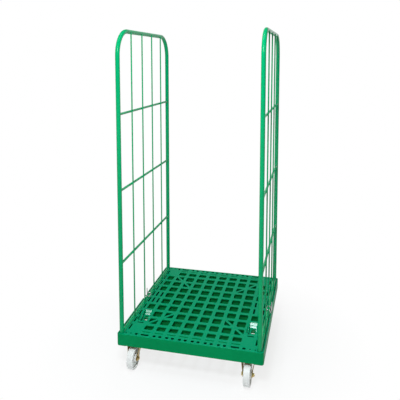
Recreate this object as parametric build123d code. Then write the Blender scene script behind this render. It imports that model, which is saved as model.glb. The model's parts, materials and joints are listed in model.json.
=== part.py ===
"""Roll cage trolley: a moulded grid base on four casters carries two lift-out wire side panels.

Millimetres, +Z up, -Y to the open front, floor at Z = 0. The model is drawn about the middle of the
base plate and written out about the middle of its own footprint.
"""

import os
from math import atan2, degrees, hypot, sqrt

from build123d import *

# Base plate: outline and levels
BASE_W = 724.0  # width, across the two panels
BASE_D = 815.0  # depth, front to back
DECK_Z = 180.0  # deck above the floor
SKIRT_H = 58.0  # skirt below the deck
FOOT_DROP = 4.0  # corner feet below the skirt
FOOT_L = 45.0  # corner foot along each side
SKIRT_T = 5.0  # skirt wall
CORNER_R = 12.0  # upright corners
TOP_R = 2.5  # rounded top edge
FOOT_R = 5.0  # rounded lower edge of the feet
RIB_H = 40.0  # deck to the lower edge of the webs
SKIN_T = 5.0  # deck skin and channel floor
WEB_T = 4.5  # webs under the skin

# Base plate: channel and sockets for the panels
RIM_W = 7.0  # rim outside the channel
CHANNEL_W = 26.0
CHANNEL_H = 17.0
END_LIP = 5.5  # closes the channel at the front and back
SOCKET_CLEAR = 0.4  # around a post
SOCKET_WALL = 6.0
SOCKET_FLOOR = 4.0

# Base plate: grid of openings
COLUMNS = 8
ROWS = 8
SIDE_BAND = 73.0  # channel to the outermost column rib
END_BAND = 116.4  # front or back edge to the outermost row rib
COLUMN_RIB = 19.0
ROW_RIB = 21.5
CELL_CUT = 4.0  # cut corners of an opening
END_CELL_D = 37.0  # short openings of the first and last row
BRACE_W = 13.0  # diagonal ribs across the corner openings
NARROW_W = 37.0  # openings outside the grid
TWIN_SLOT_W = 10.0  # pairs of slots beside the middle
SIDE_SLOT_W = 8.0
SIDE_SLOT_L = 50.0
SIDE_SLOT_INSET = 9.0  # channel to the middle of a side slot

# Base plate: front and back edge
EDGE_HOLE_INSET = 20.0
EDGE_HOLE_W = 16.0
EDGE_HOLE_D = 12.0
EDGE_HOLE_CUT = 3.5
EDGE_HOLE_GAP = 29.0  # two holes to a column
EDGE_SLOT_W = 42.0  # one long slot to an outer column
EDGE_SLOT_D = 10.0
CORNER_HOLE_INSET = 95.0  # blind hole beside the outer column, from the side
PIN_HOLE_INSETS = (67.0, 42.0)  # blind round holes beyond it
PIN_HOLE_R = 4.0
BLIND_H = 10.0
GROOVE_INSET = 46.5
GROOVE_W = 43.0
GROOVE_D = 7.0
GROOVE_H = 2.0

# Base plate: stacking trough behind each front corner
TROUGH_FRONT = 142.0  # front edge to the trough's upright end
TROUGH_L = 117.0
TROUGH_H = 30.0
TROUGH_FLAT = 35.0  # level stretch of its floor
TROUGH_HOLE_W = 22.0
TROUGH_HOLE_D = 18.0
TROUGH_SLOT_W = 34.0  # slot in front of the trough
TROUGH_SLOT_D = 9.0
TROUGH_LAND = 10.0  # land between the trough and that slot

# Side panels
POST_R = 11.0
TUBE_WALL = 1.5
CAGE_H = 1481.0  # middle of the top tube above the deck
BEND_R = 120.0
CROSS_BAR_R = 6.0
CROSS_BAR_HEIGHTS = (350.0, 713.0, 1085.0)  # above the deck
ROD_R = 3.0
RODS = 4
WELD_GAP = 0.1  # between welded pieces
SEAT_GAP = 0.3  # bottom tube over the channel floor
PLUG_T = 3.0  # flange of a post's end plug
PLUG_STEM = 18.0
PLUG_CLEAR = 0.2

# Latch bails
WIRE_R = 2.5
LATCH_SPAN = 34.0  # between the two arches
LATCH_RISE = 0.5  # wire over the bottom tube
LATCH_DIP = 3.0  # feet below the deck
LATCH_FOOT_SHIFT = 0.5  # foot from the slot's middle, away from the channel
LATCH_INSET = 3.8  # pivot from the outer side of the base
LATCH_LEAN = 5.2  # slope of the outer legs
LATCH_SEAT = 0.4  # pivot wire over the notch floor
WIRE_BEND_R = 5.0  # bends of the wire, at its middle
TAIL_OUT = 8.0  # tail beyond an arch
TAIL_H = 26.0
NOTCH_L = 64.0  # notch in the rim
EAR_L = 8.0
EAR_WALL = 2.0
PIVOT_CLEAR = 0.1

# Casters
WHEEL_R = 54.0
TREAD_W = 32.0
SHOULDER_R = 4.5  # rounded edges of the tread
RIM_H = 10.0  # tread to the dish
RIM_SLOPE = 2.0
WEB_W = 20.0  # thickness between the dishes
HUB_R = 17.0
HUB_SLOPE = 2.5
HUB_W = 38.0
AXLE_R = 5.0
AXLE_CLEAR = 0.1
BUSH_R = 7.0
BUSH_CLEAR = 0.05
HUB_PLAY = 0.5  # hub to fork leg
FORK_T = 3.5
FORK_EYE_R = 14.0
CROWN_W = 67.0
CROWN_L = 50.0
CROWN_R = 9.0
LEG_RISE = 10.0  # straight leg above the axle
TRAIL = 36.0
CASTER_INSET_X = 76.5  # kingpin from the side of the base
CASTER_INSET_Y = 57.5  # kingpin from the front or back edge
PLATE_W = 78.0
PLATE_L = 96.0
PLATE_T = 4.0
PLATE_R = 8.0
SCREW_X = 48.0  # screw pattern
SCREW_Y = 80.0
SCREW_R = 4.0
SCREW_L = 30.0
SCREW_CLEAR = 0.1
SCREW_HEAD_FLATS = 13.0
SCREW_HEAD_H = 5.3
AXLE_HEAD_FLATS = 16.0
AXLE_HEAD_H = 6.4
AXLE_NUT_H = 8.0
AXLE_END = 2.0  # thread past the nut
KINGPIN_R = 6.0
KINGPIN_HEAD_R = 9.0
KINGPIN_CLEAR = 0.1
RACE_H = 6.0
RACE_R = 26.0
RACE_BORE = 17.0
CUP_R = 21.0
CUP_H = 5.0
CUP_LIP = 2.0
SWIVEL_GAP = 0.3  # crown to the race above and the cup below

# Derived places
POST_X = BASE_W / 2 - RIM_W - CHANNEL_W / 2
POST_Y = BASE_D / 2 - END_LIP - CHANNEL_W / 2
CHANNEL_X = POST_X - CHANNEL_W / 2
GRID_X = CHANNEL_X - SIDE_BAND
GRID_Y = BASE_D / 2 - END_BAND
COLUMN_PITCH = 2 * GRID_X / COLUMNS
ROW_PITCH = 2 * GRID_Y / ROWS
CELL_W = COLUMN_PITCH - COLUMN_RIB
CELL_D = ROW_PITCH - ROW_RIB
COLUMN_X = [(i + 0.5 - COLUMNS / 2) * COLUMN_PITCH for i in range(COLUMNS)]
ROW_Y = [(j + 0.5 - ROWS / 2) * ROW_PITCH for j in range(ROWS)]
SLOT_Y = [ROW_Y[0] - ROW_PITCH, *ROW_Y, ROW_Y[-1] + ROW_PITCH]
END_CELL_Y = GRID_Y + ROW_RIB / 2 + END_CELL_D / 2
END_WEB_Y = END_CELL_Y + END_CELL_D / 2 + ROW_RIB / 2
NARROW_X = GRID_X + COLUMN_RIB / 2 + NARROW_W / 2
SIDE_SLOT_X = CHANNEL_X - SIDE_SLOT_INSET
EDGE_HOLE_Y = BASE_D / 2 - EDGE_HOLE_INSET
GROOVE_Y = BASE_D / 2 - GROOVE_INSET
TROUGH_Y = TROUGH_FRONT - BASE_D / 2
BASE_LOW = DECK_Z - SKIRT_H - FOOT_DROP
RIB_LOW = DECK_Z - RIB_H
CHANNEL_Z = DECK_Z - CHANNEL_H
SOCKET_Z = DECK_Z - SKIRT_H + SOCKET_FLOOR

TUBE_BORE = POST_R - TUBE_WALL
POST_Z = SOCKET_Z + PLUG_T
TOP_TUBE_Z = DECK_Z + CAGE_H
BOTTOM_TUBE_Z = CHANNEL_Z + SEAT_GAP + POST_R
ROD_X = CROSS_BAR_R + ROD_R + WELD_GAP
ROD_Y = [(k + 1) * 2 * POST_Y / (RODS + 1) - POST_Y for k in range(RODS)]

LATCH_X = BASE_W / 2 - LATCH_INSET
LATCH_Z = CHANNEL_Z + LATCH_SEAT + WIRE_R
LATCH_FOOT_X = SIDE_SLOT_X - LATCH_FOOT_SHIFT
LATCH_TOP_Z = BOTTOM_TUBE_Z + POST_R + LATCH_RISE + WIRE_R

CASTER_X = BASE_W / 2 - CASTER_INSET_X
CASTER_Y = BASE_D / 2 - CASTER_INSET_Y
PLATE_Z = RIB_LOW - PLATE_T
LEG_X = HUB_W / 2 + HUB_PLAY  # inner face of a fork leg
AXLE_REACH = LEG_X + FORK_T  # outer face of a fork leg
SWIVEL_CROWN_Z = PLATE_Z - RACE_H - SWIVEL_GAP
CUP_Z = SWIVEL_CROWN_Z - FORK_T - SWIVEL_GAP

# The footprint runs from the foremost wheel to the back of the base
FOREMOST = max(CASTER_Y + TRAIL + WHEEL_R, BASE_D / 2)
BASE_Y = (FOREMOST - BASE_D / 2) / 2

SIDES = {"left": -1, "right": 1}
ENDS = (-1, 1)


def save(name, *solids):
    """Write one piece, or a group of like pieces, as a node."""
    group = [Pos(0, BASE_Y, 0) * solid for solid in solids]
    shape = group[0] if len(group) == 1 else Compound(children=group)
    export_step(shape, os.path.join("parts", f"{name}.step"))


def between(x, y, low, high):
    """A solid block, wide as the two pairs say, from one level to another."""
    size = Rectangle(x[1] - x[0], y[1] - y[0])
    return extrude(Pos((x[0] + x[1]) / 2, (y[0] + y[1]) / 2, low) * size, high - low)


def bar(radius, length, x, z):
    """A round bar along Y, centred front to back."""
    return Pos(x, 0, z) * Rot(90, 0, 0) * Cylinder(radius, length)


def cut_corner(width, depth, cut):
    """A rectangle with its corners cut off."""
    rectangle = Rectangle(width, depth)
    return chamfer(rectangle.vertices(), cut)


# Base plate


def opening(face, x, y, low=RIB_LOW):
    """A cut of the given outline from the deck down to a level."""
    return extrude(Pos(x, y, low) * face, DECK_Z - low)


def pocket(face, x, y, high=DECK_Z - SKIN_T):
    """A cut of the given outline into the underside, up to a level."""
    return extrude(Pos(x, y, RIB_LOW) * face, high - RIB_LOW)


def grid_openings():
    """Openings in the skin, each over a wider pocket between thin webs."""
    cell = cut_corner(CELL_W, CELL_D, CELL_CUT)
    room = Rectangle(COLUMN_PITCH - WEB_T, ROW_PITCH - WEB_T)
    slope = degrees(atan2(CELL_D, CELL_W))
    brace_l = 2 * hypot(COLUMN_PITCH, ROW_PITCH)
    cuts = []
    for i, x in enumerate(COLUMN_X):
        for j, y in enumerate(ROW_Y):
            braced = min(i, COLUMNS - 1 - i) == min(j, ROWS - 1 - j) < 2
            turn = Rot(0, 0, slope if x * y > 0 else -slope)
            brace = turn * Rectangle(brace_l, BRACE_W)
            brace_web = turn * Rectangle(brace_l, WEB_T)
            cuts.append(opening(cell - brace if braced else cell, x, y))
            cuts.append(pocket(room - brace_web if braced else room, x, y))
    return cuts


def side_openings(side):
    """Narrow openings, twin slots and the row of slots beside the channel."""
    narrow = cut_corner(NARROW_W, CELL_D, CELL_CUT)
    twin = Rectangle(TWIN_SLOT_W, CELL_D)
    slot = Rectangle(SIDE_SLOT_W, SIDE_SLOT_L)
    twin_shift = (NARROW_W - TWIN_SLOT_W) / 2
    middle = (ROWS // 2 - 1, ROWS // 2)
    band = (GRID_X + WEB_T / 2, CHANNEL_X - WEB_T)
    room = Rectangle(band[1] - band[0], ROW_PITCH - WEB_T)
    under_channel = Rectangle(BASE_W / 2 - SKIRT_T - CHANNEL_X, ROW_PITCH - WEB_T)
    under_x = side * (BASE_W / 2 - SKIRT_T + CHANNEL_X) / 2
    cuts = [opening(slot, side * SIDE_SLOT_X, y) for y in SLOT_Y]
    for j, y in enumerate(ROW_Y):
        cuts.append(pocket(under_channel, under_x, y, CHANNEL_Z - SKIN_T))
        if y < TROUGH_Y + TROUGH_L:
            continue
        cuts.append(pocket(room, side * (band[0] + band[1]) / 2, y))
        if j in middle:
            cuts += [opening(twin, side * NARROW_X + end * twin_shift, y) for end in ENDS]
        else:
            cuts.append(opening(narrow, side * NARROW_X, y))
    return cuts


def trough(side):
    """A scoop with one curved and one upright end, its drain hole and the slot in front of it."""
    floor_z = DECK_Z - TROUGH_H
    curve_run = TROUGH_L - TROUGH_FLAT
    curve_r = (curve_run**2 + TROUGH_H**2) / (2 * TROUGH_H)
    back = (TROUGH_Y + TROUGH_L, DECK_Z)
    foot = (TROUGH_Y + TROUGH_FLAT, floor_z)
    half_run = (curve_run / 2) ** 2
    mid = (TROUGH_Y + TROUGH_FLAT + curve_run / 2, floor_z + curve_r - sqrt(curve_r**2 - half_run))
    outline = [
        ThreePointArc(foot, mid, back),
        Line(back, (TROUGH_Y, DECK_Z)),
        Line((TROUGH_Y, DECK_Z), (TROUGH_Y, floor_z)),
        Line((TROUGH_Y, floor_z), foot),
    ]
    x = side * NARROW_X
    scoop = extrude(Plane.YZ.offset(x) * make_face(outline), NARROW_W / 2, both=True)
    hole = Rectangle(TROUGH_HOLE_W, TROUGH_HOLE_D)
    slot = cut_corner(TROUGH_SLOT_W, TROUGH_SLOT_D, EDGE_HOLE_CUT)
    slot_y = TROUGH_Y - TROUGH_LAND - TROUGH_SLOT_D / 2
    return [scoop, opening(hole, x, TROUGH_Y + TROUGH_HOLE_D / 2), opening(slot, x, slot_y)]


def edge_openings(end):
    """The short openings of the end row, and the holes, slots and grooves along the front or back edge."""
    cell = cut_corner(CELL_W, END_CELL_D, CELL_CUT)
    hole = cut_corner(EDGE_HOLE_W, EDGE_HOLE_D, EDGE_HOLE_CUT)
    slot = cut_corner(EDGE_SLOT_W, EDGE_SLOT_D, EDGE_HOLE_CUT)
    groove = Rectangle(GROOVE_W, GROOVE_D)
    inner = (GRID_Y + WEB_T / 2, END_WEB_Y - WEB_T / 2)
    outer = (END_WEB_Y + WEB_T / 2, BASE_D / 2 - SKIRT_T)
    blind = DECK_Z - BLIND_H
    cuts = []
    for x in COLUMN_X:
        for low, high in (inner, outer):
            room = Rectangle(COLUMN_PITCH - WEB_T, high - low)
            cuts.append(pocket(room, x, end * (low + high) / 2))
        cuts.append(opening(cell, x, end * END_CELL_Y))
        cuts.append(opening(groove, x, end * GROOVE_Y, DECK_Z - GROOVE_H))
        if abs(x) > GRID_X - COLUMN_PITCH:
            cuts.append(opening(slot, x, end * EDGE_HOLE_Y))
        else:
            pair = [x - EDGE_HOLE_GAP / 2, x + EDGE_HOLE_GAP / 2]
            cuts += [opening(hole, hole_x, end * EDGE_HOLE_Y) for hole_x in pair]
    for side in SIDES.values():
        cuts.append(opening(hole, side * (BASE_W / 2 - CORNER_HOLE_INSET), end * EDGE_HOLE_Y, blind))
        for inset in PIN_HOLE_INSETS:
            cuts.append(opening(Circle(PIN_HOLE_R), side * (BASE_W / 2 - inset), end * EDGE_HOLE_Y, blind))
    return cuts


def latch_ear(side):
    """The moulded ear that carries the latch's pivot wire."""
    ear_r = PIVOT_CLEAR + WIRE_R + EAR_WALL
    foot = between((LATCH_X - ear_r, BASE_W / 2), (-EAR_L / 2, EAR_L / 2), CHANNEL_Z, LATCH_Z)
    head = bar(ear_r, EAR_L, LATCH_X, LATCH_Z)
    wall = between((LATCH_X - ear_r, BASE_W / 2), (-EAR_L / 2, EAR_L / 2), CHANNEL_Z, LATCH_Z + ear_r)
    ear = (foot + head) & wall
    bore = bar(WIRE_R + PIVOT_CLEAR, EAR_L, LATCH_X, LATCH_Z)
    return ear - bore if side > 0 else mirror(ear - bore, Plane.YZ)


def base_plate():
    outline = RectangleRounded(BASE_W, BASE_D, CORNER_R)
    plate = extrude(Pos(0, 0, BASE_LOW) * outline, SKIRT_H + FOOT_DROP)
    plate = fillet(plate.faces().sort_by(Axis.Z)[-1].edges(), TOP_R)
    plate = fillet(plate.faces().sort_by(Axis.Z)[0].edges(), FOOT_R)

    hollow = RectangleRounded(BASE_W - 2 * SKIRT_T, BASE_D - 2 * SKIRT_T, CORNER_R - SKIRT_T)
    across = Rectangle(BASE_W - 2 * FOOT_L, BASE_D)
    along = Rectangle(BASE_W, BASE_D - 2 * FOOT_L)
    cuts = [
        extrude(Pos(0, 0, BASE_LOW) * hollow, RIB_LOW - BASE_LOW),
        extrude(Pos(0, 0, BASE_LOW) * across, FOOT_DROP),
        extrude(Pos(0, 0, BASE_LOW) * along, FOOT_DROP),
    ]
    cuts += grid_openings()
    for end in ENDS:
        cuts += edge_openings(end)
    bosses = []
    ears = []
    for side in SIDES.values():
        channel = Rot(0, 0, 90) * SlotCenterToCenter(2 * POST_Y, CHANNEL_W)
        cuts.append(extrude(Pos(side * POST_X, 0, CHANNEL_Z) * channel, CHANNEL_H))
        cuts += side_openings(side) + trough(side)
        notch_x = sorted((side * POST_X, side * BASE_W / 2))
        cuts.append(between(notch_x, (-NOTCH_L / 2, NOTCH_L / 2), CHANNEL_Z, DECK_Z))
        ears.append(latch_ear(side))
        for end in ENDS:
            post = Pos(side * POST_X, end * POST_Y, 0)
            boss = Circle(POST_R + SOCKET_CLEAR + SOCKET_WALL)
            bosses.append(post * Pos(0, 0, DECK_Z - SKIRT_H) * extrude(boss, SKIRT_H - CHANNEL_H))
    plate = plate - cuts + bosses + ears

    socket = extrude(Circle(POST_R + SOCKET_CLEAR), CHANNEL_Z - SOCKET_Z)
    screw_hole = extrude(Circle(SCREW_R + SCREW_CLEAR), SCREW_L - PLATE_T)
    holes = []
    for side in SIDES.values():
        for end in ENDS:
            holes.append(Pos(side * POST_X, end * POST_Y, SOCKET_Z) * socket)
            caster = Pos(side * CASTER_X, end * CASTER_Y, RIB_LOW)
            holes += [caster * place * screw_hole for place in GridLocations(SCREW_X, SCREW_Y, 2, 2)]
    return plate - holes


# Side panels


def frame_tube():
    """The bent tube: both posts, two elbows and the top run."""
    section = Circle(POST_R) - Circle(TUBE_BORE)
    bend_y = POST_Y - BEND_R
    bend_z = TOP_TUBE_Z - BEND_R
    post = Pos(0, POST_Y, POST_Z) * extrude(section, bend_z - POST_Z)
    elbow = revolve(Pos(0, POST_Y, bend_z) * section, Axis((0, bend_y, bend_z), (1, 0, 0)), 90)
    run = Pos(0, 0, TOP_TUBE_Z) * Rot(90, 0, 0) * extrude(section, bend_y, both=True)
    half = post + elbow
    return half + run + mirror(half, Plane.XZ)


def posts(radius):
    """Both posts as plain round bars, to cope other tubes against."""
    height = TOP_TUBE_Z - POST_Z
    return [Pos(0, end * POST_Y, POST_Z) * extrude(Circle(radius), height) for end in ENDS]


def coped_bar(radius, z, wall):
    """A tube between the posts, its ends coped to them."""
    tube = bar(radius, 2 * POST_Y, 0, z) - bar(radius - wall, 2 * POST_Y, 0, z)
    coped = tube - posts(POST_R + WELD_GAP)
    return coped.solids().sort_by(SortBy.VOLUME)[-1]


def upright_rod(y):
    """A rod welded to the cross bars and coped onto the flanks of the top and bottom tubes."""
    rod = Pos(ROD_X, y, BOTTOM_TUBE_Z) * extrude(Circle(ROD_R), TOP_TUBE_Z - BOTTOM_TUBE_Z)
    tubes = [bar(POST_R + WELD_GAP, 2 * POST_Y, 0, z) for z in (BOTTOM_TUBE_Z, TOP_TUBE_Z)]
    return (rod - tubes).solids().sort_by(SortBy.VOLUME)[-1]


def post_plugs():
    """Plastic end plugs: a flange under the tube and a stem inside it."""
    flange = extrude(Circle(POST_R), PLUG_T)
    stem = Pos(0, 0, PLUG_T) * extrude(Circle(TUBE_BORE - PLUG_CLEAR), PLUG_STEM)
    return [Pos(0, end * POST_Y, SOCKET_Z) * (flange + stem) for end in ENDS]


def build_panels():
    for name, side in SIDES.items():
        stand = Pos(side * POST_X, 0, 0)
        save(f"{name}_frame_tube", stand * frame_tube())
        save(f"{name}_bottom_tube", stand * coped_bar(POST_R, BOTTOM_TUBE_Z, TUBE_WALL))
        for level, height in zip(("lower", "middle", "upper"), CROSS_BAR_HEIGHTS):
            save(f"{name}_{level}_cross_bar", stand * coped_bar(CROSS_BAR_R, DECK_Z + height, TUBE_WALL))
        for number, y in enumerate(ROD_Y, start=1):
            save(f"{name}_rod_{number}", stand * upright_rod(y))
        save(f"{name}_post_plugs", *[stand * plug for plug in post_plugs()])


# Latch bails


def wire(points):
    """A bent wire through the given points."""
    path = FilletPolyline(*points, radius=WIRE_BEND_R)
    start = Plane(origin=path @ 0, z_dir=path % 0)
    return sweep(start * Circle(WIRE_R), path=path)


def latch_bail():
    """Two arches over the bottom tube on one pivot wire, which ends in an upright tail."""
    arch = [
        (LATCH_X, LATCH_Z),
        (LATCH_X - LATCH_LEAN, LATCH_TOP_Z),
        (LATCH_FOOT_X, LATCH_TOP_Z),
        (LATCH_FOOT_X, DECK_Z - LATCH_DIP),
    ]
    near = -LATCH_SPAN / 2
    far = LATCH_SPAN / 2
    tail_y = far + TAIL_OUT
    tail = [(LATCH_X, tail_y, LATCH_Z + TAIL_H), (LATCH_X, tail_y, LATCH_Z)]
    long_wire = wire(tail + [(x, near, z) for x, z in arch])
    return long_wire + wire([(x, far, z) for x, z in arch])


# Casters


def hex_prism(flats, height):
    return extrude(RegularPolygon(flats / 2, 6, major_radius=False), height)


def fork(crown_z, trail):
    """A pressed fork: sheet bent over the wheel, with legs that narrow towards the axle eye."""
    low = WHEEL_R - FORK_EYE_R
    knee = WHEEL_R + LEG_RISE
    shoulder = crown_z - CROWN_R - FORK_T

    def front_view(inset):
        leg = AXLE_REACH - inset
        crown = CROWN_W / 2 - inset
        right = [(leg, low), (leg, knee), (crown, shoulder), (crown, crown_z - inset)]
        left = [(-x, z) for x, z in reversed(right)]
        outline = make_face(Polyline(*right, *left, close=True))
        return fillet(outline.vertices().sort_by(Axis.Y)[-2:], CROWN_R - inset)

    sheet = front_view(0) - front_view(FORK_T)
    bent = extrude(Plane.XZ * sheet, CROWN_L + trail, both=True)
    eye = Pos(-trail, WHEEL_R) * Circle(FORK_EYE_R)
    crown = Pos(0, (shoulder + crown_z) / 2) * Rectangle(CROWN_L, crown_z - shoulder)
    side_view = make_hull(eye.edges() + crown.edges())
    blank = extrude(Plane.YZ * side_view, CROWN_W, both=True)
    axle_hole = Pos(0, -trail, WHEEL_R) * Rot(0, 90, 0) * Cylinder(AXLE_R + AXLE_CLEAR, 2 * CROWN_W)
    return (bent & blank) - axle_hole


def caster_plate():
    """A top plate with its screw holes, lying under the base."""
    holes = [place * Circle(SCREW_R + SCREW_CLEAR) for place in GridLocations(SCREW_X, SCREW_Y, 2, 2)]
    return Pos(0, 0, PLATE_Z) * extrude(RectangleRounded(PLATE_W, PLATE_L, PLATE_R) - holes, PLATE_T)


def turned(points):
    """A turned piece about the upright axis, from radius and height pairs."""
    return revolve(Plane.XZ * make_face(Polyline(*points, close=True)), Axis.Z)


def wheel():
    """A nylon wheel about the X axis: long hub, dished sides, tread with rounded edges."""
    bore = BUSH_R + BUSH_CLEAR
    dish_r = WHEEL_R - RIM_H
    half = [
        (bore, 0),
        (bore, HUB_W / 2),
        (HUB_R, HUB_W / 2),
        (HUB_R + HUB_SLOPE, WEB_W / 2),
        (dish_r - RIM_SLOPE, WEB_W / 2),
        (dish_r, TREAD_W / 2),
        (WHEEL_R, TREAD_W / 2),
        (WHEEL_R, 0),
    ]
    outline = make_face(Polyline(*half, close=True))
    shoulder = outline.vertices().group_by(Axis.X)[-1].sort_by(Axis.Y)[-1]
    outline = fillet(shoulder, SHOULDER_R)
    side = revolve(Plane.XZ * outline, Axis.Z)
    return Rot(0, 90, 0) * (side + mirror(side, Plane.XY))


def wheel_bush():
    tube = Circle(BUSH_R) - Circle(AXLE_R + AXLE_CLEAR)
    return Rot(0, 90, 0) * extrude(tube, LEG_X, both=True)


def axle_bolt():
    """Head on the left, thread on the right."""
    head = Pos(0, 0, -AXLE_REACH - AXLE_HEAD_H) * hex_prism(AXLE_HEAD_FLATS, AXLE_HEAD_H)
    shank_l = 2 * AXLE_REACH + AXLE_NUT_H + AXLE_END
    shank = Pos(0, 0, -AXLE_REACH) * extrude(Circle(AXLE_R), shank_l)
    return Rot(0, 90, 0) * (head + shank)


def axle_nut():
    nut = hex_prism(AXLE_HEAD_FLATS, AXLE_NUT_H) - extrude(Circle(AXLE_R + AXLE_CLEAR), AXLE_NUT_H)
    return Rot(0, 90, 0) * Pos(0, 0, AXLE_REACH) * nut


def caster_screw():
    """Upside down: the head under the plate, the shank up in the base."""
    head = Pos(0, 0, PLATE_Z - SCREW_HEAD_H) * hex_prism(SCREW_HEAD_FLATS, SCREW_HEAD_H)
    return head + Pos(0, 0, PLATE_Z) * extrude(Circle(SCREW_R), SCREW_L)


def build_casters():
    front = {name: Pos(side * CASTER_X, -CASTER_Y, 0) for name, side in SIDES.items()}
    rear = {name: Pos(side * CASTER_X, CASTER_Y, 0) for name, side in SIDES.items()}

    # Pieces of the front casters that stay with the base
    pin_hole = Pos(0, 0, PLATE_Z) * extrude(Circle(KINGPIN_R + KINGPIN_CLEAR), PLATE_T)
    sink = [
        (KINGPIN_R + KINGPIN_CLEAR, PLATE_Z),
        (KINGPIN_HEAD_R + KINGPIN_CLEAR, RIB_LOW),
        (0, RIB_LOW),
        (0, PLATE_Z),
    ]
    plate = caster_plate() - turned(sink) - pin_hole
    race_low = PLATE_Z - RACE_H
    race = turned([(RACE_BORE, PLATE_Z), (RACE_R, PLATE_Z), (RACE_R - CUP_LIP, race_low), (RACE_BORE, race_low)])
    cup = turned(
        [
            (KINGPIN_R + KINGPIN_CLEAR, CUP_Z),
            (CUP_R, CUP_Z),
            (CUP_R - CUP_LIP, CUP_Z - CUP_H),
            (KINGPIN_R + KINGPIN_CLEAR, CUP_Z - CUP_H),
        ]
    )
    pin_low = CUP_Z - CUP_H
    pin = turned(
        [
            (0, RIB_LOW),
            (KINGPIN_HEAD_R, RIB_LOW),
            (KINGPIN_R, PLATE_Z),
            (KINGPIN_R, pin_low),
            (KINGPIN_HEAD_R, pin_low),
            (KINGPIN_HEAD_R, pin_low - PLATE_T),
            (0, pin_low - PLATE_T),
        ]
    )
    for name, solid in (("plates", plate), ("ball_races", race), ("bearing_cups", cup), ("kingpins", pin)):
        save(f"front_caster_{name}", *[place * solid for place in front.values()])

    # Pieces that swivel, and the wheels
    axle = Pos(0, -TRAIL, WHEEL_R)
    crown_hole = Pos(0, 0, CUP_Z) * extrude(Circle(KINGPIN_R + KINGPIN_CLEAR), PLATE_Z - CUP_Z)
    for name, place in front.items():
        save(f"front_{name}_fork", place * (fork(SWIVEL_CROWN_Z, TRAIL) - crown_hole))
        save(f"front_{name}_wheel", place * axle * wheel())
        save(f"front_{name}_bush", place * axle * wheel_bush())
        save(f"front_{name}_axle_bolt", place * axle * axle_bolt())
        save(f"front_{name}_axle_nut", place * axle * axle_nut())

    # Rear casters, whose brackets do not swivel
    axle = Pos(0, 0, WHEEL_R)
    bracket = fork(PLATE_Z, 0) + caster_plate()
    save("rear_caster_brackets", *[place * bracket for place in rear.values()])
    for name, place in rear.items():
        save(f"rear_{name}_wheel", place * axle * wheel())
    for name, solid in (("bushes", wheel_bush()), ("axle_bolts", axle_bolt()), ("axle_nuts", axle_nut())):
        save(f"rear_{name}", *[place * axle * solid for place in rear.values()])

    screws = GridLocations(SCREW_X, SCREW_Y, 2, 2)
    places = [*front.values(), *rear.values()]
    save("caster_screws", *[place * corner * caster_screw() for place in places for corner in screws])


def main():
    os.makedirs("parts", exist_ok=True)
    save("base_plate", base_plate())
    build_panels()
    bail = latch_bail()
    save("right_latch_bail", bail)
    save("left_latch_bail", Rot(0, 0, 180) * bail)
    build_casters()


main()
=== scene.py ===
"""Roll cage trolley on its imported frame: finishes, base, side panels, latches, studio and camera.

Metres, with +Z up and -Y towards the front.
"""
import json
import math

import bpy
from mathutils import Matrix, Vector


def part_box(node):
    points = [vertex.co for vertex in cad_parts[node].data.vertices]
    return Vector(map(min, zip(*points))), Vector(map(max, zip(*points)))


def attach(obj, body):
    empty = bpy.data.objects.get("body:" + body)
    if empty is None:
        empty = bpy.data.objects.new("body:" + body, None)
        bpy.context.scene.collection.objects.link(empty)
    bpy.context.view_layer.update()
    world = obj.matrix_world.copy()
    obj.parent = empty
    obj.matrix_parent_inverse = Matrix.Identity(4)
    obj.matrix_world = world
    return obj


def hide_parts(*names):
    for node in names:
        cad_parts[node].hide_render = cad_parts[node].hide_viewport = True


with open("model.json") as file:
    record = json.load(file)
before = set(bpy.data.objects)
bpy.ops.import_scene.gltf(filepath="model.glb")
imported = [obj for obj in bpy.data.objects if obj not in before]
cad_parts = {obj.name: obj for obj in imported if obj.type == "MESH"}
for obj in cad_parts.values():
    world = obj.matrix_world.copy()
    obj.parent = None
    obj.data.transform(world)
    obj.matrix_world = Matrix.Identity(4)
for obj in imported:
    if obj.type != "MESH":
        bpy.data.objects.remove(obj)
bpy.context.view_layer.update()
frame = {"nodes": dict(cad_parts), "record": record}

SIDES = {"left": -1.0, "right": 1.0}

# Camera, for a picture 400 pixels square
PICTURE_SIDE = 400.0
FOCAL_PIXELS = 492.79
AXIS_PIXEL_Y = 109.68  # where the lens axis meets the picture, down from its top
SENSOR_MM = 36.0
CAMERA_AT = (0.57547, -2.54114, 1.52112)
CAMERA_YAW = math.radians(13.468)
CAMERA_PITCH = math.radians(5.721)

# Boxes inside the base: middle and half size across, front to back and upright
TROUGH_BOX = ((0.2855, 0.0288), (-0.19075, 0.0587), (0.164, 0.0155))
# The openings and the slots below mark where painted shade darkens the base
OPENINGS_BOX = ((0.0, 0.3265), (0.01625, 0.4045), (0.158, 0.0206))
SLOT_BOXES = (
    ((0.291, 0.0355), (0.01625, 0.0728), (0.1575, 0.02)),  # beside the middle
    ((0.2855, 0.0185), (-0.26375, 0.006), (0.1575, 0.02)),  # in front of the troughs
    ((0.0, 0.3265), (-0.3597, 0.0263), (0.1575, 0.02)),  # front edge
    ((0.0, 0.3265), (0.3922, 0.0263), (0.1575, 0.02)),  # back edge
)

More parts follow.
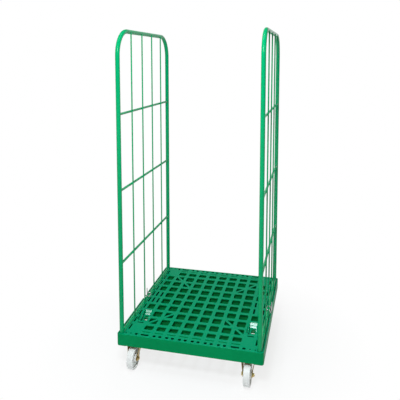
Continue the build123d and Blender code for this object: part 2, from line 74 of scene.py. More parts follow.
# Colours of the finishes: a pair is the darker and the paler end of a noise
NOISE_LOW = 0.3  # a noise mostly lies between these two
NOISE_HIGH = 0.7
SIDE_GREENS = ((0.0, 0.242, 0.077), (0.0, 0.268, 0.088))
# Up-facing surfaces: the side greens with painted overhead light, paler and bluer
LIT_TOP_GREENS = ((0.0, 0.276, 0.123), (0.0, 0.302, 0.138))
SCUFFED_GREEN = (0.01, 0.34, 0.15)
# Painted shade inside the base's openings, and a darker painted shade in its narrow slots and edge holes
PAINTED_SHADE_GREENS = ((0.0, 0.163, 0.036), (0.0, 0.225, 0.055))
PAINTED_SLOT_SHADE = (0.0, 0.045, 0.014)
PAINT_GREENS = ((0.0, 0.328, 0.117), (0.0, 0.356, 0.131))
PLUG_BLACKS = ((0.012, 0.012, 0.013), (0.03, 0.03, 0.03))
WIRE_GREYS = ((0.58, 0.59, 0.58), (0.78, 0.79, 0.78))
CHROMATE_TINTS = (
    (0.30, (0.17, 0.13, 0.042)),
    (0.45, (0.37, 0.27, 0.08)),
    (0.60, (0.53, 0.385, 0.115)),
    (0.72, (0.41, 0.265, 0.145)),
)
NYLON_WHITES = ((0.85, 0.85, 0.835), (0.885, 0.885, 0.875))
NYLON_SCUFF = (0.55, 0.55, 0.53)
PLATED_YELLOWS = ((0.44, 0.34, 0.14), (0.68, 0.54, 0.26))
TROUGH_POLISH = 0.6

# Shaping
MERGE_GAP = 0.000001
SMOOTH_ANGLE = math.radians(30.0)

# Rows of small holes along the base's front and back edges, opened further from front to back
EDGE_HOLE_ROWS = (-0.37125, 0.40375)
EDGE_HOLE_REACH = 0.0065  # points of a hole, from the middle of its row
EDGE_HOLE_SPAN = 0.28  # length of a row, each way from the middle
EDGE_HOLE_FLOOR = 0.168  # points of a hole lie above this
EDGE_HOLE_STRETCH = 1.32

# Bays over the base's two stacking troughs, and their drain holes
DECK_Z = 0.18
BAY_X = 0.2855
BAY_FRONT = -0.23925
BAY_W = 0.057
BAY_L = 0.075
BAY_SLOPE = 0.03  # back end of the bay, from its floor up to the deck
BAY_DEPTH = 0.014
BAY_CORNER = 0.004
DRAIN_AT = 0.062  # from the bay's front
DRAIN_W = 0.019
DRAIN_L = 0.026
DRAIN_CORNER = 0.002
CORNER_STEPS = 4
CUT_SPARE = 0.002  # cutters past the faces that they open

# Side panels and their welds
POST_R = 0.011
BAR_R = 0.006
ROD_R = 0.003
ROD_SHOWN_R = 0.0035  # as wide as the rods look, grown into the bars that they are welded to
BAR_LEVELS = ("lower", "middle", "upper")
ROD_NUMBERS = (1, 2, 3, 4)
BEAD_R = 0.0022
BEAD_STEPS = 28  # round a cross bar
BEAD_SIDES = 8
NUGGET_R = 0.0042
NUGGET_SIDES = 12
NUGGET_RINGS = 8
NUGGET_SQUEEZE = (0.6, 1.3, 1.1)  # the whole nugget
NUGGET_SWELL = (1.3, 1.0, 1.0)  # its middle
WELD_LUMPS = 0.003  # width of the lumps on a weld
WELD_RELIEF = 0.0011

# Latch bails: one wire, bent to a loop over the bottom tube and an upright tail
WIRE_R = 0.0025
WIRE_SIDES = 20
WIRE_SMOOTH_ANGLE = math.radians(40.0)
BEND_STEPS = 7
BEND_R = 0.005
ARM_BEND_R = 0.006
LATCH_SPAN = 0.038  # between the two arms
LATCH_LEAN = 0.0052  # slope of the outer legs
LATCH_RISE = 0.002  # wire over the bottom tube
LATCH_BAR_IN = 0.0102  # inner bar from the middle of the tube
LATCH_BAR_UP = 0.0092
LATCH_HOOK = 0.0055  # slope of the arms down to the inner bar
TAIL_OUT = 0.008
TAIL_H = 0.046
WELD_GAP = 0.0001  # wire's cut end to the run that it is welded to
CUT_END = 0.0006  # chamfer on the wire's cut ends
CUT_END_STEPS = 2
CUT_END_ANGLE = math.radians(60.0)

# Studio
WHITE = (1.0, 1.0, 1.0)
FLOOR_SIDE = 24.0
FLOOR_CLEAR = 0.0005
FLOOR_GREY = 0.9
FLOOR_FADE = (0.35, 0.9)  # from the middle, where the floor starts to fade and where it is white
FLOOR_GLOW = 0.78  # share of plain white before the fade
FILL_STRENGTH = 0.27  # light that the room gives the object
FILL_COLOUR = (1.0, 0.97, 0.90)
FRONT_GLOW = 0.08  # the room in front and overhead, as gloss shows it
WALL_SIDE = (-0.2, 0.3)  # directions from front to back between which gloss starts to show the wall
WALL_TOP = (0.30, 0.55)  # and upward ones between which the wall ends
FRONT_LAMP_AT = (0.1, -1.7, 2.3)
FRONT_LAMP_AIM = (0.0, -0.35, 1.1)
FRONT_LAMP_SIZE = (0.6, 0.5)
FRONT_LAMP_WATTS = 40.0
FRONT_LAMP_COLOUR = (0.90, 0.96, 1.0)
BACK_LAMP_AT = (-0.3, 2.4, 1.9)
BACK_LAMP_AIM = (0.0, 0.4, 0.7)
BACK_LAMP_SIZE = (0.9, 0.7)
BACK_LAMP_WATTS = 18.0
PANEL_X = {"left": -2.15, "right": -0.36}  # panels overhead, which the troughs mirror
PANEL_WATTS = {"left": 15.0, "right": 34.0}
PANEL_Y = {"front": -1.13, "back": 0.07}
PANEL_Z = 6.0
PANEL_SIZE = (0.5, 0.9)
PANEL_COLOUR = (0.82, 0.93, 1.0)

# A Mix node's two inputs and its output
MIX_COLOUR_SOCKETS = ((6, 7), 2)
MIX_VALUE_SOCKETS = ((2, 3), 0)


# Node helpers


def new_material(name):
    """A new node material: the material, its node tree and its main shader."""
    made = bpy.data.materials.new(name)
    made.use_nodes = True
    tree = made.node_tree
    return made, tree, tree.nodes["Principled BSDF"]


def add_node(tree, kind, inputs=None, **settings):
    """A node with its settings and unlinked inputs."""
    node = tree.nodes.new(kind)
    for key, value in settings.items():
        setattr(node, key, value)
    for key, value in (inputs or {}).items():
        node.inputs[key].default_value = value
    return node


def noise(tree, scale, detail=3.0, roughness=0.5, stretch=(1.0, 1.0, 1.0)):
    """A noise value over Object coordinates; stretch scales the pattern along each axis."""
    place = add_node(tree, "ShaderNodeTexCoord")
    mapping = add_node(tree, "ShaderNodeMapping", {"Scale": stretch})
    sizes = {"Scale": scale, "Detail": detail, "Roughness": roughness}
    texture = add_node(tree, "ShaderNodeTexNoise", sizes)
    tree.links.new(place.outputs["Object"], mapping.inputs["Vector"])
    tree.links.new(mapping.outputs["Vector"], texture.inputs["Vector"])
    return texture.outputs["Fac"]


def ramp(tree, value, stops):
    """A colour ramp: stops are pairs of position and colour."""
    node = add_node(tree, "ShaderNodeValToRGB")
    points = node.color_ramp.elements
    while len(points) < len(stops):
        points.new(0.5)
    for point, (position, colour) in zip(points, stops):
        point.position = position
        point.color = (*colour, 1.0)
    tree.links.new(value, node.inputs["Fac"])
    return node.outputs["Color"]


def two_tones(tree, value, pair):
    """A ramp from the darker to the paler colour of a pair."""
    dark, pale = pair
    return ramp(tree, value, ((NOISE_LOW, dark), (NOISE_HIGH, pale)))


def spread(tree, value, low, high, low_in=NOISE_LOW, high_in=NOISE_HIGH):
    """A value moved from one range to another."""
    sizes = {"From Min": low_in, "From Max": high_in, "To Min": low, "To Max": high}
    node = add_node(tree, "ShaderNodeMapRange", sizes)
    tree.links.new(value, node.inputs["Value"])
    return node.outputs["Result"]


def mix_colour(tree, factor, first, second):
    """Two colours mixed by a value; a colour is a socket or three numbers."""
    node = add_node(tree, "ShaderNodeMix", data_type="RGBA")
    tree.links.new(factor, node.inputs["Factor"])
    inputs, output = MIX_COLOUR_SOCKETS
    for index, colour in zip(inputs, (first, second)):
        if isinstance(colour, tuple):
            node.inputs[index].default_value = (*colour, 1.0)
        else:
            tree.links.new(colour, node.inputs[index])
    return node.outputs[output]


def mix_value(tree, factor, first, second):
    """Two values mixed by a third; a value is a socket or a number."""
    node = add_node(tree, "ShaderNodeMix", data_type="FLOAT")
    tree.links.new(factor, node.inputs["Factor"])
    inputs, output = MIX_VALUE_SOCKETS
    for index, value in zip(inputs, (first, second)):
        if isinstance(value, float):
            node.inputs[index].default_value = value
        else:
            tree.links.new(value, node.inputs[index])
    return node.outputs[output]


def bump(tree, shader, height, depth):
    """A bump of the given depth in metres on a shader's normal."""
    node = add_node(tree, "ShaderNodeBump", {"Distance": depth, "Strength": 1.0})
    tree.links.new(height, node.inputs["Height"])
    tree.links.new(node.outputs["Normal"], shader.inputs["Normal"])


# Finishes


def inside_box(tree, box):
    """1 inside a box that is mirrored about the middle plane, 0 elsewhere."""
    place = add_node(tree, "ShaderNodeTexCoord")
    split = add_node(tree, "ShaderNodeSeparateXYZ")
    tree.links.new(place.outputs["Object"], split.inputs["Vector"])
    across = add_node(tree, "ShaderNodeMath", operation="ABSOLUTE")
    tree.links.new(split.outputs["X"], across.inputs[0])
    inside = None
    for value, (middle, reach) in zip((across.outputs[0], split.outputs["Y"], split.outputs["Z"]), box):
        near = add_node(tree, "ShaderNodeMath", {1: middle, 2: reach}, operation="COMPARE")
        tree.links.new(value, near.inputs[0])
        if inside is None:
            inside = near.outputs[0]
            continue
        both = add_node(tree, "ShaderNodeMath", operation="MULTIPLY")
        tree.links.new(inside, both.inputs[0])
        tree.links.new(near.outputs[0], both.inputs[1])
        inside = both.outputs[0]
    return inside


def inside_slots(tree):
    """1 inside the narrow slots and edge holes, where the painted shade is darkest, 0 elsewhere."""
    inside = inside_box(tree, SLOT_BOXES[0])
    for box in SLOT_BOXES[1:]:
        either = add_node(tree, "ShaderNodeMath", operation="MAXIMUM")
        tree.links.new(inside, either.inputs[0])
        tree.links.new(inside_box(tree, box), either.inputs[1])
        inside = either.outputs[0]
    return inside


def facing_up(tree):
    """1 on level surfaces that face up, 0 on upright ones: where the base's painted overhead light goes."""
    place = add_node(tree, "ShaderNodeTexCoord")
    split = add_node(tree, "ShaderNodeSeparateXYZ")
    tree.links.new(place.outputs["Normal"], split.inputs["Vector"])
    return spread(tree, split.outputs["Z"], low=0.0, high=1.0, low_in=0.5, high_in=0.95)


def moulded_green():
    """Moulded polyolefin with flow marks and scuffs, worn in the troughs; painted light makes its top paler
    and bluer, and painted shade darkens it inside the openings and slots.
    """
    made, tree, shader = new_material("moulded_green")
    flow = noise(tree, scale=5.0, detail=4.0, roughness=0.6)
    side = two_tones(tree, flow, SIDE_GREENS)
    # painted light: up-facing surfaces take the paler, bluer greens
    top = two_tones(tree, flow, LIT_TOP_GREENS)
    green = mix_colour(tree, facing_up(tree), side, top)
    marks = noise(tree, scale=60.0, detail=6.0, roughness=0.7, stretch=(0.15, 1.0, 1.0))
    scuff = spread(tree, marks, low=0.0, high=0.22, low_in=0.62, high_in=0.8)
    scuffed = mix_colour(tree, scuff, green, SCUFFED_GREEN)
    trough = inside_box(tree, TROUGH_BOX)
    # painted shade inside the openings, left out of the troughs, darkest in the slots
    shade_mask = add_node(tree, "ShaderNodeMath", operation="SUBTRACT", use_clamp=True)
    tree.links.new(inside_box(tree, OPENINGS_BOX), shade_mask.inputs[0])
    tree.links.new(trough, shade_mask.inputs[1])
    painted_shade = two_tones(tree, noise(tree, scale=25.0, detail=5.0), PAINTED_SHADE_GREENS)
    shade_with_slots = mix_colour(tree, inside_slots(tree), painted_shade, PAINTED_SLOT_SHADE)
    tree.links.new(mix_colour(tree, shade_mask.outputs[0], scuffed, shade_with_slots), shader.inputs["Base Color"])
    satin = spread(tree, noise(tree, scale=90.0, detail=5.0), low=0.3, high=0.42)
    tree.links.new(satin, shader.inputs["Roughness"])
    shader.inputs["Specular IOR Level"].default_value = 0.03
    polish = add_node(tree, "ShaderNodeMath", {1: TROUGH_POLISH}, operation="MULTIPLY")
    tree.links.new(trough, polish.inputs[0])
    tree.links.new(polish.outputs[0], shader.inputs["Coat Weight"])
    shader.inputs["Coat Roughness"].default_value = 0.07
    shader.inputs["Coat IOR"].default_value = 1.6
    bump(tree, shader, noise(tree, scale=700.0, detail=2.0), depth=0.00001)
    return made


def painted_green():
    """Gloss powder coat with a slight orange peel."""
    made, tree, shader = new_material("painted_green")
    green = two_tones(tree, noise(tree, scale=9.0), PAINT_GREENS)
    tree.links.new(green, shader.inputs["Base Color"])
    peel = spread(tree, noise(tree, scale=130.0, detail=4.0), low=0.19, high=0.24)
    tree.links.new(peel, shader.inputs["Roughness"])
    shader.inputs["Specular IOR Level"].default_value = 0.13
    return made


def plug_plastic():
    """Black moulded plastic with a matt grain."""
    made, tree, shader = new_material("plug_plastic")
    black = two_tones(tree, noise(tree, scale=300.0), PLUG_BLACKS)
    tree.links.new(black, shader.inputs["Base Color"])
    matt = spread(tree, noise(tree, scale=500.0), low=0.45, high=0.6)
    tree.links.new(matt, shader.inputs["Roughness"])
    bump(tree, shader, noise(tree, scale=900.0), depth=0.00005)
    return made


def latch_wire():
    """Bright zinc on drawn wire."""
    made, tree, shader = new_material("latch_wire")
    grey = two_tones(tree, noise(tree, scale=240.0, detail=4.0), WIRE_GREYS)
    tree.links.new(grey, shader.inputs["Base Color"])
    drawn = spread(tree, noise(tree, scale=600.0, detail=4.0), low=0.26, high=0.45)
    tree.links.new(drawn, shader.inputs["Roughness"])
    shader.inputs["Metallic"].default_value = 0.8
    bump(tree, shader, noise(tree, scale=900.0), depth=0.00003)
    return made


def caster_zinc():
    """Yellow chromate over zinc: patches of gold, olive and a faint violet."""
    made, tree, shader = new_material("caster_zinc")
    patches = ramp(tree, noise(tree, scale=45.0, detail=5.0, roughness=0.6), CHROMATE_TINTS)
    tree.links.new(patches, shader.inputs["Base Color"])
    worn = spread(tree, noise(tree, scale=160.0, detail=5.0), low=0.26, high=0.46)
    tree.links.new(worn, shader.inputs["Roughness"])
    shader.inputs["Metallic"].default_value = 1.0
    bump(tree, shader, noise(tree, scale=400.0, detail=4.0), depth=0.00005)
    return made


def wheel_nylon():
    """Natural white nylon, a little cloudy, with faint grey scuffs."""
    made, tree, shader = new_material("wheel_nylon")
    cloud = two_tones(tree, noise(tree, scale=30.0, detail=4.0), NYLON_WHITES)
    marks = noise(tree, scale=120.0, detail=6.0, roughness=0.7)
    scuff = spread(tree, marks, low=0.0, high=0.1, low_in=0.62, high_in=0.8)
    tree.links.new(mix_colour(tree, scuff, cloud, NYLON_SCUFF), shader.inputs["Base Color"])
    satin = spread(tree, noise(tree, scale=200.0, detail=4.0), low=0.3, high=0.42)
    tree.links.new(satin, shader.inputs["Roughness"])
    shader.inputs["Specular IOR Level"].default_value = 0.2
    bump(tree, shader, noise(tree, scale=350.0), depth=0.00001)
    return made


def fastener_steel():
    """Zinc-plated steel, pale with a yellow cast."""
    made, tree, shader = new_material("fastener_steel")
    plate = two_tones(tree, noise(tree, scale=220.0, detail=4.0), PLATED_YELLOWS)
    tree.links.new(plate, shader.inputs["Base Color"])
    worn = spread(tree, noise(tree, scale=500.0, detail=4.0), low=0.24, high=0.42)
    tree.links.new(worn, shader.inputs["Roughness"])
    shader.inputs["Metallic"].default_value = 1.0
    bump(tree, shader, noise(tree, scale=700.0), depth=0.00004)
    return made


FINISHES = {
    "moulded_green": moulded_green(),
    "painted_green": painted_green(),
    "plug_plastic": plug_plastic(),
    "latch_wire": latch_wire(),
    "caster_zinc": caster_zinc(),
    "wheel_nylon": wheel_nylon(),
    "fastener_steel": fastener_steel(),
}


def finish_nodes():
    """Each part of the frame takes the finish that its record names."""
    for part in frame["record"]["subparts"]:
        piece = frame["nodes"][part["node"]]
        piece.data.materials.clear()
        piece.data.materials.append(FINISHES[part["material_slot"]])


# Shaping helpers


def select_only(piece):
    """One piece selected and active, and no other."""
    bpy.ops.object.select_all(action="DESELECT")
    piece.select_set(True)
    bpy.context.view_layer.objects.active = piece


def pick_points(piece, test):
    """In edit mode, only the points of a piece whose places pass the test are selected."""
    bpy.ops.object.mode_set(mode="EDIT")
    bpy.ops.mesh.select_mode(type="VERT")
    bpy.ops.mesh.select_all(action="DESELECT")
    bpy.ops.object.mode_set(mode="OBJECT")
    for point in piece.data.vertices:
        point.select = test(point.co)
    bpy.ops.object.mode_set(mode="EDIT")


def merged_copy(name):
    """A copy of a node with its own mesh, its loose triangles merged, left selected and active."""
    node = frame["nodes"][name]
    made = node.copy()
    made.data = node.data.copy()
    bpy.context.collection.objects.link(made)
    select_only(made)
    bpy.ops.object.mode_set(mode="EDIT")
    bpy.ops.mesh.select_all(action="SELECT")
    bpy.ops.mesh.remove_doubles(threshold=MERGE_GAP)
    bpy.ops.object.mode_set(mode="OBJECT")
    return made


def join_pieces(pieces):
    """One piece made of several, left selected and active."""
    bpy.ops.object.select_all(action="DESELECT")
    for piece in pieces:
        piece.select_set(True)
    bpy.context.view_layer.objects.active = pieces[0]
    bpy.ops.object.join()
    return bpy.context.object


def renew_shading():
    """The active piece is shaded by its angles, and not by the normals that it was loaded with."""
    bpy.ops.mesh.customdata_custom_splitnormals_clear()
    bpy.ops.object.shade_smooth_by_angle(angle=SMOOTH_ANGLE)


# Base


def block(low, high, corner):
    """A block with its upright edges rounded."""
    middle = [(a + b) / 2 for a, b in zip(low, high)]
    bpy.ops.object.select_all(action="DESELECT")
    bpy.ops.mesh.primitive_cube_add(size=1.0, location=middle, scale=[b - a for a, b in zip(low, high)])
    bpy.ops.object.transform_apply(location=True, rotation=True, scale=True)
    made = bpy.context.object
    bpy.ops.object.mode_set(mode="EDIT")
    bpy.ops.mesh.select_mode(type="EDGE")
    bpy.ops.mesh.select_all(action="DESELECT")
    bpy.ops.object.mode_set(mode="OBJECT")
    for edge in made.data.edges:
        first, second = (made.data.vertices[k].co for k in edge.vertices)
        edge.select = abs(first.z - second.z) > corner
    bpy.ops.object.mode_set(mode="EDIT")
    bpy.ops.mesh.bevel(offset=corner, segments=CORNER_STEPS, affect="EDGES")
    bpy.ops.object.mode_set(mode="OBJECT")
    return made


def cut_pair(piece, cutter):
    """The cutter, which stands on the right, and its copy on the left are cut out of a piece."""
    for shift in (0.0, -2 * BAY_X):
        cutter.location.x = shift
        cut = piece.modifiers.new("cut", "BOOLEAN")
        cut.object = cutter
        bpy.context.view_layer.update()
        bpy.context.view_layer.objects.active = piece
        bpy.ops.object.modifier_apply(modifier=cut.name)
    bpy.data.objects.remove(cutter)


def open_edge_holes(base):
    """The small holes along the front and back edges, stretched from front to back."""
    for row in EDGE_HOLE_ROWS:
        pick_points(base, lambda at: abs(at.y - row) < EDGE_HOLE_REACH
                    and abs(at.x) < EDGE_HOLE_SPAN and at.z > EDGE_HOLE_FLOOR)
        bpy.ops.transform.resize(value=(1.0, EDGE_HOLE_STRETCH, 1.0), center_override=(0.0, row, DECK_Z))
        bpy.ops.object.mode_set(mode="OBJECT")


def base_with_bays():
    """The base with longer edge holes, and with a bay and a drain hole at each stacking trough."""
    base = merged_copy("base_plate")
    base.name = "base_with_bays"
    open_edge_holes(base)
    back = BAY_FRONT + BAY_L
    top = DECK_Z + CUT_SPARE
    floor = DECK_Z - BAY_DEPTH
    bay = block((BAY_X - BAY_W / 2, BAY_FRONT, floor), (BAY_X + BAY_W / 2, back, top), BAY_CORNER)
    pick_points(bay, lambda at: at.y > back - 2 * BAY_CORNER and at.z < DECK_Z)
    bpy.ops.transform.translate(value=(0.0, -BAY_SLOPE, 0.0))
    bpy.ops.object.mode_set(mode="OBJECT")
    cut_pair(base, bay)
    drain_y = BAY_FRONT + DRAIN_AT
    low = (BAY_X - DRAIN_W / 2, drain_y - DRAIN_L / 2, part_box("base_plate")[0].z - CUT_SPARE)
    high = (BAY_X + DRAIN_W / 2, drain_y + DRAIN_L / 2, floor)
    cut_pair(base, block(low, high, DRAIN_CORNER))
    select_only(base)
    renew_shading()
    flats = base.modifiers.new("flats", "WEIGHTED_NORMAL")
    flats.keep_sharp = True
    bpy.ops.object.modifier_apply(modifier=flats.name)
    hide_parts("base_plate")
    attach(base, "trolley")


# Side panels


def panel_rods(side):
    """The four rods of one side panel, as wide as they look, as one piece."""
    names = [f"{side}_rod_{k}" for k in ROD_NUMBERS]
    grow = ROD_SHOWN_R / ROD_R
    rods = []
    for name in names:
        rod = merged_copy(name)
        low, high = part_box(name)
        rod_y = (low.y + high.y) / 2
        pick_points(rod, lambda at: True)
        bpy.ops.transform.resize(value=(grow, grow, 1.0), center_override=(high.x, rod_y, 0.0))
        bpy.ops.object.mode_set(mode="OBJECT")
        rods.append(rod)
    piece = join_pieces(rods)
    renew_shading()
    piece.name = f"{side}_panel_rods"
    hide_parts(*names)
    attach(piece, "trolley")


def roughen(weld):
    """The rounded, uneven skin of cooled weld metal under paint."""
    smooth = weld.modifiers.new("smooth", "SUBSURF")
    smooth.levels = 1
    smooth.render_levels = 1
    bpy.ops.object.modifier_apply(modifier=smooth.name)
    lumps = bpy.data.textures.new("weld_lumps", "CLOUDS")
    lumps.noise_scale = WELD_LUMPS
    relief = weld.modifiers.new("relief", "DISPLACE")
    relief.texture = lumps
    relief.strength = WELD_RELIEF
    bpy.ops.object.modifier_apply(modifier=relief.name)
    bpy.ops.object.shade_smooth()


def bar_bead():
    """A bead round a cross bar that leaves a post at the origin towards +Y, bent to lie on the post."""
    bpy.ops.object.select_all(action="DESELECT")
    bpy.ops.mesh.primitive_torus_add(
        major_radius=BAR_R, minor_radius=BEAD_R, major_segments=BEAD_STEPS, minor_segments=BEAD_SIDES,
        location=(0.0, POST_R, 0.0), rotation=(math.pi / 2, 0.0, 0.0))
    bpy.ops.object.transform_apply(location=True, rotation=True, scale=True)
    bead = bpy.context.object
    step = math.tau / BEAD_STEPS
    for k in range(BEAD_STEPS):
        turn = k * step - math.pi
        back = POST_R - math.sqrt(POST_R ** 2 - (BAR_R * math.cos(turn)) ** 2)
        pick_points(bead, lambda at: abs(math.remainder(math.atan2(at.z, at.x) - turn, math.tau)) < step / 2)
        bpy.ops.transform.translate(value=(0.0, -back, 0.0))
        bpy.ops.object.mode_set(mode="OBJECT")
    roughen(bead)
    return bead


def rod_nugget():
    """A nugget that a resistance weld squeezes out between a rod and what it crosses, at the origin."""
    bpy.ops.object.select_all(action="DESELECT")
    bpy.ops.mesh.primitive_uv_sphere_add(segments=NUGGET_SIDES, ring_count=NUGGET_RINGS, radius=NUGGET_R)
    nugget = bpy.context.object
    pick_points(nugget, lambda at: True)
    bpy.ops.transform.resize(value=NUGGET_SQUEEZE)
    pick_points(nugget, lambda at: abs(at.y) < NUGGET_R / 2)
    bpy.ops.transform.resize(value=NUGGET_SWELL)
    bpy.ops.object.mode_set(mode="OBJECT")
    roughen(nugget)
    return nugget


def set_down(weld, at, turn=0.0):
    """A copy of a weld with its own mesh, turned about the upright and moved to its place."""
    copy = weld.copy()
    copy.data = weld.data.copy()
    bpy.context.collection.objects.link(copy)
    copy.rotation_euler.z = turn
    copy.location = at
    return copy


def panel_welds(side, bead, nugget):
    """All the welds of one side panel, as one piece."""
    frame_low, frame_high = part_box(f"{side}_frame_tube")
    posts = ((frame_low.y + POST_R, 0.0), (frame_high.y - POST_R, math.pi))
    top_z = frame_high.z - POST_R
    foot_low, foot_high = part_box(f"{side}_bottom_tube")
    foot_z = (foot_low.z + foot_high.z) / 2
    panel_x = (foot_low.x + foot_high.x) / 2
    levels = [sum(corner.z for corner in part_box(f"{side}_{name}_cross_bar")) / 2 for name in BAR_LEVELS]
    welds = [set_down(bead, (panel_x, y, z), turn) for y, turn in posts for z in levels]
    for k in ROD_NUMBERS:
        rod_low, rod_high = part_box(f"{side}_rod_{k}")
        rod_y = (rod_low.y + rod_high.y) / 2
        rod_x = (rod_low.x + rod_high.x) / 2
        welds += [set_down(nugget, (rod_x - ROD_R, rod_y, z)) for z in levels]
        reach = rod_x - panel_x - ROD_R / 2
        drop = math.sqrt(POST_R ** 2 - reach ** 2)
        welds += [set_down(nugget, (panel_x + reach, rod_y, z)) for z in (top_z - drop, foot_z + drop)]
    piece = join_pieces(welds)
    bpy.ops.object.transform_apply(location=True, rotation=True, scale=True)
    piece.name = f"{side}_panel_welds"
    piece.data.materials.append(FINISHES["painted_green"])
    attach(piece, "trolley")


def weld_panels():
    """The welds of both side panels, from one bead and one nugget."""
    bead = bar_bead()
    nugget = rod_nugget()
    for side in SIDES:
        panel_welds(side, bead, nugget)
    bpy.data.objects.remove(bead)
    bpy.data.objects.remove(nugget)


# Latch bails


def bend_wire(corners, radii):
    """A round wire: a circle drawn along each run of the path and spun round each of its bends."""
    bpy.ops.object.select_all(action="DESELECT")
    at = corners[0]
    facing = (corners[1] - at).to_track_quat("Z", "Y").to_euler()
    bpy.ops.mesh.primitive_circle_add(vertices=WIRE_SIDES, radius=WIRE_R, location=at, rotation=facing)
    bpy.ops.object.transform_apply(location=True, rotation=True, scale=True)
    wire = bpy.context.object
    bpy.ops.object.mode_set(mode="EDIT")
    bpy.ops.mesh.select_all(action="SELECT")
    for before, corner, after, radius in zip(corners, corners[1:], corners[2:], radii):
        into = (corner - before).normalized()
        out = (after - corner).normalized()
        turn = into.angle(out)
        cut = radius * math.tan(turn / 2)
        end = corner - into * cut
        bpy.ops.mesh.extrude_region_move(TRANSFORM_OT_translate={"value": end - at})
        axis = into.cross(out).normalized()
        middle = end + axis.cross(into) * radius
        bpy.ops.mesh.spin(steps=BEND_STEPS, angle=-turn, center=middle, axis=axis)
        at = corner + out * cut
    bpy.ops.mesh.extrude_region_move(TRANSFORM_OT_translate={"value": corners[-1] - at})
    bpy.ops.mesh.select_all(action="SELECT")
    bpy.ops.mesh.remove_doubles(threshold=WELD_GAP / 10)
    bpy.ops.mesh.fill_holes(sides=0)
    bpy.ops.mesh.normals_make_consistent(inside=False)
    bpy.ops.object.mode_set(mode="OBJECT")
    ends = wire.modifiers.new("cut_ends", "BEVEL")
    ends.width = CUT_END
    ends.segments = CUT_END_STEPS
    ends.limit_method = "ANGLE"
    ends.angle_limit = CUT_END_ANGLE
    bpy.ops.object.modifier_apply(modifier=ends.name)
    bpy.ops.object.shade_smooth_by_angle(angle=WIRE_SMOOTH_ANGLE)
    return wire


def latch_bail(side, sign):
    """The bail of one side: tail, pivot, an arm over the bottom tube, the bar inside it and an arm back."""
    joints = {joint["name"]: joint for joint in frame["record"]["behaviour"]["joints"]}
    pivot = Vector(joints[f"{side}_latch_lift"]["pos_m"])
    tube_low, tube_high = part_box(f"{side}_bottom_tube")
    tube = (tube_low + tube_high) / 2
    top_z = tube.z + POST_R + LATCH_RISE + WIRE_R
    bar_x = tube.x - sign * LATCH_BAR_IN
    arm = [
        (pivot.x, pivot.z),
        (pivot.x - sign * LATCH_LEAN, top_z),
        (bar_x + sign * LATCH_HOOK, top_z),
        (bar_x, tube.z + LATCH_BAR_UP),
    ]
    near = pivot.y - LATCH_SPAN / 2
    far = pivot.y + LATCH_SPAN / 2
    tail = Vector((pivot.x, far + TAIL_OUT, pivot.z))
    corners = [tail + Vector((0.0, 0.0, TAIL_H)), tail]
    corners += [Vector((x, near, z)) for x, z in arm]
    corners += [Vector((x, far, z)) for x, z in reversed(arm)]
    leg = corners[-2] - corners[-1]
    corners[-1] = corners[-1] + leg.normalized() * (WIRE_R + WELD_GAP)
    near_bends = [BEND_R, BEND_R, ARM_BEND_R, ARM_BEND_R, BEND_R]
    far_bends = [BEND_R, ARM_BEND_R, ARM_BEND_R]
    bail = bend_wire(corners, near_bends + far_bends)
    bail.name = f"{side}_bent_wire_bail"
    bail.data.materials.append(FINISHES["latch_wire"])
    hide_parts(f"{side}_latch_bail")
    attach(bail, f"{side}_latch")


# Studio


def seen_rays(tree):
    """1 for camera, mirror and glass rays, 0 for the light that falls on the object."""
    path = add_node(tree, "ShaderNodeLightPath")
    first = add_node(tree, "ShaderNodeMath", operation="MAXIMUM")
    second = add_node(tree, "ShaderNodeMath", operation="MAXIMUM")
    tree.links.new(path.outputs["Is Camera Ray"], first.inputs[0])
    tree.links.new(path.outputs["Is Glossy Ray"], first.inputs[1])
    tree.links.new(first.outputs[0], second.inputs[0])
    tree.links.new(path.outputs["Is Transmission Ray"], second.inputs[1])
    return second.outputs[0]


def white_room():
    """A world that is white to look at and lights softly; gloss shows its white wall at the back."""
    world = bpy.data.worlds.new("white_room")
    world.use_nodes = True
    tree = world.node_tree
    background = tree.nodes["Background"]
    path = add_node(tree, "ShaderNodeLightPath")
    place = add_node(tree, "ShaderNodeTexCoord")
    split = add_node(tree, "ShaderNodeSeparateXYZ")
    tree.links.new(place.outputs["Generated"], split.inputs["Vector"])
    behind = spread(tree, split.outputs["Y"], FRONT_GLOW, 1.0, *WALL_SIDE)
    wall = spread(tree, split.outputs["Z"], 1.0, 0.0, *WALL_TOP)
    gloss = mix_value(tree, wall, FRONT_GLOW, behind)
    lit = mix_value(tree, path.outputs["Is Glossy Ray"], FILL_STRENGTH, gloss)
    clear = mix_value(tree, path.outputs["Is Transmission Ray"], lit, 1.0)
    seen = mix_value(tree, path.outputs["Is Camera Ray"], clear, 1.0)
    tree.links.new(seen, background.inputs["Strength"])
    tint = mix_colour(tree, path.outputs["Is Diffuse Ray"], WHITE, FILL_COLOUR)
    tree.links.new(tint, background.inputs["Color"])
    bpy.context.scene.world = world


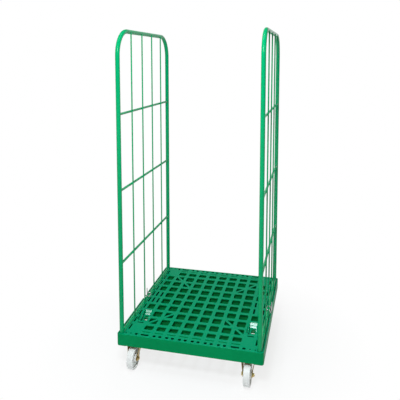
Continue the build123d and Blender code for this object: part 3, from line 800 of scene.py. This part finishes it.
def pale_floor():
    """A pale floor that keeps the shadow near the object and fades to white further out."""
    bpy.ops.object.select_all(action="DESELECT")
    bpy.ops.mesh.primitive_plane_add(size=FLOOR_SIDE, location=(0.0, 0.0, -FLOOR_CLEAR))
    bpy.ops.object.transform_apply(location=True, rotation=True, scale=True)
    floor = bpy.context.object
    floor.name = "floor"
    made, tree, shader = new_material("floor_paint")
    shader.inputs["Base Color"].default_value = (FLOOR_GREY, FLOOR_GREY, FLOOR_GREY, 1.0)
    shader.inputs["Roughness"].default_value = 0.9
    shader.inputs["Specular IOR Level"].default_value = 0.0
    place = add_node(tree, "ShaderNodeTexCoord")
    reach = add_node(tree, "ShaderNodeVectorMath", operation="LENGTH")
    tree.links.new(place.outputs["Object"], reach.inputs[0])
    fade = spread(tree, reach.outputs["Value"], FLOOR_GLOW, 1.0, *FLOOR_FADE)
    seen = add_node(tree, "ShaderNodeMath", operation="MULTIPLY")
    tree.links.new(fade, seen.inputs[0])
    tree.links.new(seen_rays(tree), seen.inputs[1])
    white = add_node(tree, "ShaderNodeEmission", {"Strength": 1.0})
    blend = add_node(tree, "ShaderNodeMixShader")
    tree.links.new(seen.outputs[0], blend.inputs[0])
    tree.links.new(shader.outputs["BSDF"], blend.inputs[1])
    tree.links.new(white.outputs["Emission"], blend.inputs[2])
    tree.links.new(blend.outputs["Shader"], tree.nodes["Material Output"].inputs["Surface"])
    floor.data.materials.append(made)


def soft_box(name, at, aim, size, watts, colour):
    """One rectangular studio lamp, turned to face a point."""
    bpy.ops.object.light_add(type="AREA", location=at)
    lamp = bpy.context.object
    lamp.name = name
    lamp.data.shape = "RECTANGLE"
    lamp.data.size, lamp.data.size_y = size
    lamp.data.energy = watts
    lamp.data.color = colour
    lamp.rotation_euler = (Vector(aim) - Vector(at)).to_track_quat("-Z", "Y").to_euler()
    return lamp


def studio_lamps():
    """A soft lamp above the front, a weaker one behind and four panels high overhead."""
    soft_box(
        "front_lamp", FRONT_LAMP_AT, FRONT_LAMP_AIM, FRONT_LAMP_SIZE, FRONT_LAMP_WATTS, FRONT_LAMP_COLOUR)
    back = soft_box("back_lamp", BACK_LAMP_AT, BACK_LAMP_AIM, BACK_LAMP_SIZE, BACK_LAMP_WATTS, WHITE)
    back.visible_glossy = False
    for side, x in PANEL_X.items():
        for place, y in PANEL_Y.items():
            name = f"{side}_{place}_panel"
            soft_box(name, (x, y, PANEL_Z), (x, y, 0.0), PANEL_SIZE, PANEL_WATTS[side], PANEL_COLOUR)


def camera():
    """The camera at the photograph's viewing angle."""
    bpy.ops.object.camera_add(location=CAMERA_AT)
    made = bpy.context.object
    made.rotation_euler = (math.pi / 2 - CAMERA_PITCH, 0.0, CAMERA_YAW)
    made.data.sensor_width = SENSOR_MM
    made.data.lens = FOCAL_PIXELS * SENSOR_MM / PICTURE_SIDE
    made.data.shift_y = AXIS_PIXEL_Y / PICTURE_SIDE - 0.5
    bpy.context.scene.camera = made


finish_nodes()
base_with_bays()
for side in SIDES:
    panel_rods(side)
weld_panels()
for side, sign in SIDES.items():
    latch_bail(side, sign)
white_room()
pale_floor()
studio_lamps()
camera()
bpy.context.scene.view_settings.view_transform = "Standard"
